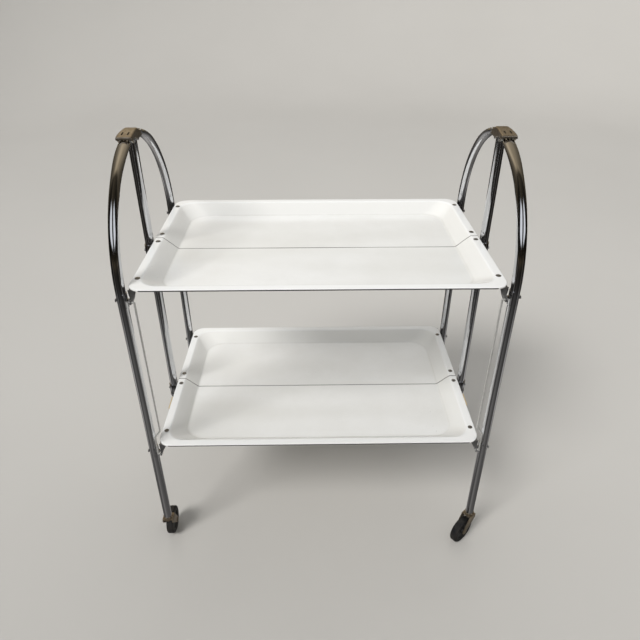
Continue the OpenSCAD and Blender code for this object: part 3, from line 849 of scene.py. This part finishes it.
fm = Net("floor_pale")
tone = fm.noise(1.3, 3.0, 0.5, seed=5.0)
fm.put(Base_Color=fm.mix(tone, (0.55, 0.535, 0.51), (0.515, 0.50, 0.475)), Roughness=0.8, Specular_IOR_Level=0.2)
rings = [(0.0, -0.0004), (0.5, -0.0004), (1.5, -0.0004), (4.0, -0.0004)]
rings += [(4.0 + 2.5 * math.sin(math.pi / 2 * i / 14), -0.0004 + 2.5 * (1 - math.cos(math.pi / 2 * i / 14))) for i in range(1, 15)]
rings += [(6.5, 4.4)]
floor = dish("floor", rings, 96, fm.mat)
floor.visible_glossy = False                # the chrome sees the darker room below instead


def area(name, loc, target, size, power, colour=(1, 1, 1)):
    d = bpy.data.lights.new(name, "AREA")
    d.shape = "RECTANGLE"
    d.size, d.size_y = size
    d.energy = power
    d.color = colour
    o = bpy.data.objects.new(name, d)
    o.location = loc
    o.rotation_euler = (Vector(target) - Vector(loc)).to_track_quat("-Z", "Y").to_euler()
    bpy.context.scene.collection.objects.link(o)
    return o


sun = bpy.data.lights.new("window", "SUN")
sun.energy, sun.angle, sun.color = 2.25, math.radians(22), (1.0, 0.99, 0.97)
sun_o = bpy.data.objects.new("window", sun)
sun_o.rotation_euler = (math.radians(31), math.radians(-33), 0)
bpy.context.scene.collection.objects.link(sun_o)
sun_o.visible_glossy = False
area("top", (0.0, 1.0, 2.5), (0, 0, 0.4), (2.4, 0.5), 12, (1.0, 0.99, 0.97)).visible_glossy = False

bpy.context.scene.view_settings.view_transform = "Standard"

world = bpy.data.worlds.new("studio")
bpy.context.scene.world = world
world.use_nodes = True
wt = world.node_tree
bg = wt.nodes["Background"]


def wnode(kind, **kw):
    n = wt.nodes.new(kind)
    for k, v in kw.items():
        setattr(n, k, v)
    return n


def wmath(op, a, b=0.0, c=0.0):
    m = wnode("ShaderNodeMath", operation=op)
    for i, v in enumerate((a, b, c)):
        if isinstance(v, (int, float)):
            m.inputs[i].default_value = v
        else:
            wt.links.new(v, m.inputs[i])
    return m.outputs["Value"]


def wramp(fac, stops):
    r = wnode("ShaderNodeValToRGB")
    els = r.color_ramp.elements
    while len(els) < len(stops):
        els.new(0.5)
    for e, (p, c) in zip(els, stops):
        e.position = p
        e.color = (c[0], c[1], c[2], 1)
    wt.links.new(fac, r.inputs["Fac"])
    return r.outputs["Color"]


wc = wnode("ShaderNodeTexCoord")
ws = wnode("ShaderNodeSeparateXYZ")
wt.links.new(wc.outputs["Generated"], ws.inputs["Vector"])
WX, WY, WZ = ws.outputs["X"], ws.outputs["Y"], ws.outputs["Z"]
# what polished metal and enamel reflect: a dark floor, a mid-toned room, pale ceiling with soft bands
height = wmath("MULTIPLY_ADD", WZ, 0.5, 0.5)
room = wramp(height, [(0.0, (0.62, 0.58, 0.54)), (0.17, (0.60, 0.58, 0.56)), (0.235, (0.36, 0.35, 0.34)), (0.275, (0.15, 0.145, 0.14)), (0.32, (0.13, 0.12, 0.11)), (0.44, (0.105, 0.092, 0.076)),
                      (0.49, (0.20, 0.165, 0.115)), (0.56, (0.50, 0.405, 0.26)), (0.70, (0.62, 0.52, 0.37)),
                      (0.84, (0.72, 0.60, 0.43)), (1.0, (0.86, 0.70, 0.47))])
flank = wmath("POWER", wmath("MAXIMUM", wmath("SUBTRACT", 1.04, wmath("ABSOLUTE", WX)), 0.0), 0.85)
front = wmath("MULTIPLY_ADD", WY, 0.34, 0.66)
glow = wmath("MAXIMUM", wmath("SUBTRACT", 1.0, wmath("MULTIPLY", wmath("ABSOLUTE", wmath("ADD", WX, 0.28)), 3.2)), 0.0)
side = wmath("MULTIPLY", wmath("MULTIPLY", flank, wmath("MULTIPLY_ADD", glow, 0.9, 1.1)), front)
wn = wnode("ShaderNodeTexNoise")
wn.inputs["Scale"].default_value = 2.6
wn.inputs["Detail"].default_value = 2.0
wt.links.new(wc.outputs["Generated"], wn.inputs["Vector"])
cloud = wmath("MULTIPLY_ADD", wn.outputs["Fac"], 0.7, 0.62)
rim = wmath("MAXIMUM", wmath("SUBTRACT", 1.0, wmath("MULTIPLY", wmath("ABSOLUTE", wmath("SUBTRACT", wmath("ABSOLUTE", WX), 0.80)), 10.0)), 0.0)


def wstep(v, a, b):
    """0 at a, 1 at b, straight between."""
    return wmath("MINIMUM", wmath("MAXIMUM", wmath("DIVIDE", wmath("SUBTRACT", v, a), b - a), 0.0), 1.0)


def wband(v, a, b, soft):
    return wmath("MULTIPLY", wstep(v, a, a + soft), wstep(v, b, b - soft))


rim = wmath("MULTIPLY", rim, wstep(height, 0.52, 0.47))
shade = wmath("MULTIPLY_ADD", rim, 1.9, wmath("MULTIPLY", side, cloud))
# the wall before the object is dark above eye level, but for two windows
unlit = wmath("MULTIPLY", wstep(WY, 0.16, 0.02), wstep(height, 0.50, 0.56))
shade = wmath("MULTIPLY", shade, wmath("SUBTRACT", 1.0, wmath("MULTIPLY", unlit, 0.86)))
panes = wmath("ADD", wband(WX, -0.86, -0.12, 0.07), wband(WX, 0.28, 0.95, 0.07))
panes = wmath("MULTIPLY", panes, wmath("MULTIPLY", wband(height, 0.625, 0.91, 0.035), wstep(WY, -0.36, -0.46)))
dark = wnode("ShaderNodeMix", data_type="RGBA", blend_type="MULTIPLY")
dark.inputs["Factor"].default_value = 1.0
wt.links.new(room, dark.inputs["A"])
wt.links.new(shade, dark.inputs["B"])
lit = wnode("ShaderNodeMix", data_type="RGBA")
lit.inputs["B"].default_value = (1.75, 1.80, 1.90, 1)
wt.links.new(wmath("MINIMUM", panes, 1.0), lit.inputs["Factor"])
wt.links.new(dark.outputs["Result"], lit.inputs["A"])
lp = wnode("ShaderNodeLightPath")
pick = wnode("ShaderNodeMix", data_type="RGBA")
pick.inputs["A"].default_value = (0.965, 0.985, 1.0, 1)
wt.links.new(lp.outputs["Is Glossy Ray"], pick.inputs["Factor"])
wt.links.new(lit.outputs["Result"], pick.inputs["B"])
wt.links.new(pick.outputs["Result"], bg.inputs["Color"])
bg.inputs["Strength"].default_value = 0.51
